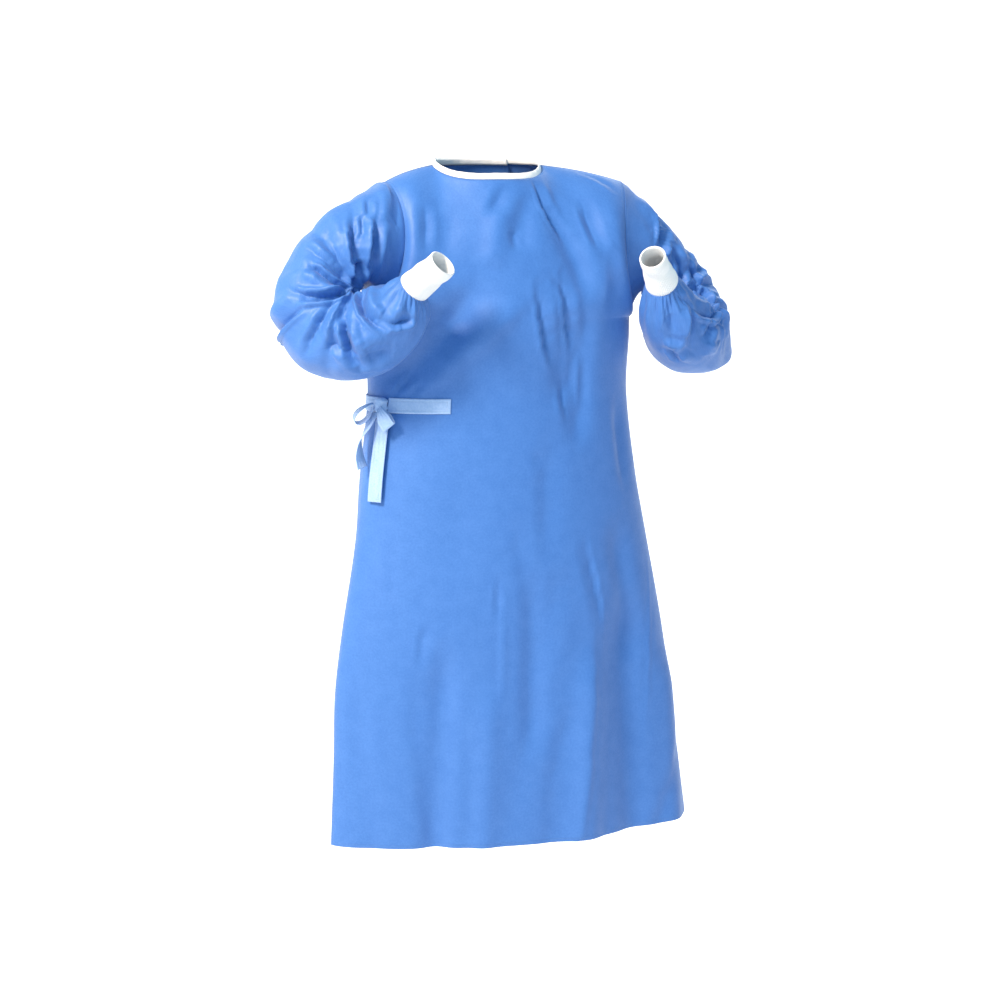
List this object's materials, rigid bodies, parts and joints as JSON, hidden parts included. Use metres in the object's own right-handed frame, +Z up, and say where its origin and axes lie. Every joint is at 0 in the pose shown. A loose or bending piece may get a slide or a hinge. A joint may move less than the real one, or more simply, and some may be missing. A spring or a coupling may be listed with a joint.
{
  "type": "surgical gown",
  "caption": "Surgical gown of nonwoven cloth, filled out and hollow, with bent sleeves, knit cuffs, a bound neck, a lapped back and a belt tied at the side.",
  "frame": {"origin": "between the shoulders at the level of the neckline, where the wearer's shoulders hold the gown up", "axes": "+Z up, the front faces -Y, +X is the wearer's left"},
  "size_m": [0.8977, 0.3842, 1.2424],
  "materials": {
    "cloth": "smooth blue nonwoven with a faint bonded texture and a soft sheen",
    "knit": "white rib knit, matt and slightly wrinkled",
    "belt": "light blue nonwoven tape, folded and stitched"
  },
  "bodies": {
    "root": {"front_panel": "cloth", "back_panel_left": "cloth", "back_panel_right": "cloth", "sleeve_left_upper_front": "cloth", "sleeve_left_upper_back": "cloth", "sleeve_left_lower_front": "cloth", "sleeve_left_lower_back": "cloth", "sleeve_right_upper_front": "cloth", "sleeve_right_upper_back": "cloth", "sleeve_right_lower_front": "cloth", "sleeve_right_lower_back": "cloth", "cuff_left": "knit", "cuff_right": "knit", "neck_binding": "knit", "belt_tab": "belt", "belt_wrap": "belt", "belt_knot": "belt", "belt_loop_front": "belt", "belt_loop_side": "belt", "belt_tail_long": "belt", "belt_tail_short": "belt", "neck_tab": "belt"}
  },
  "joints": []
}
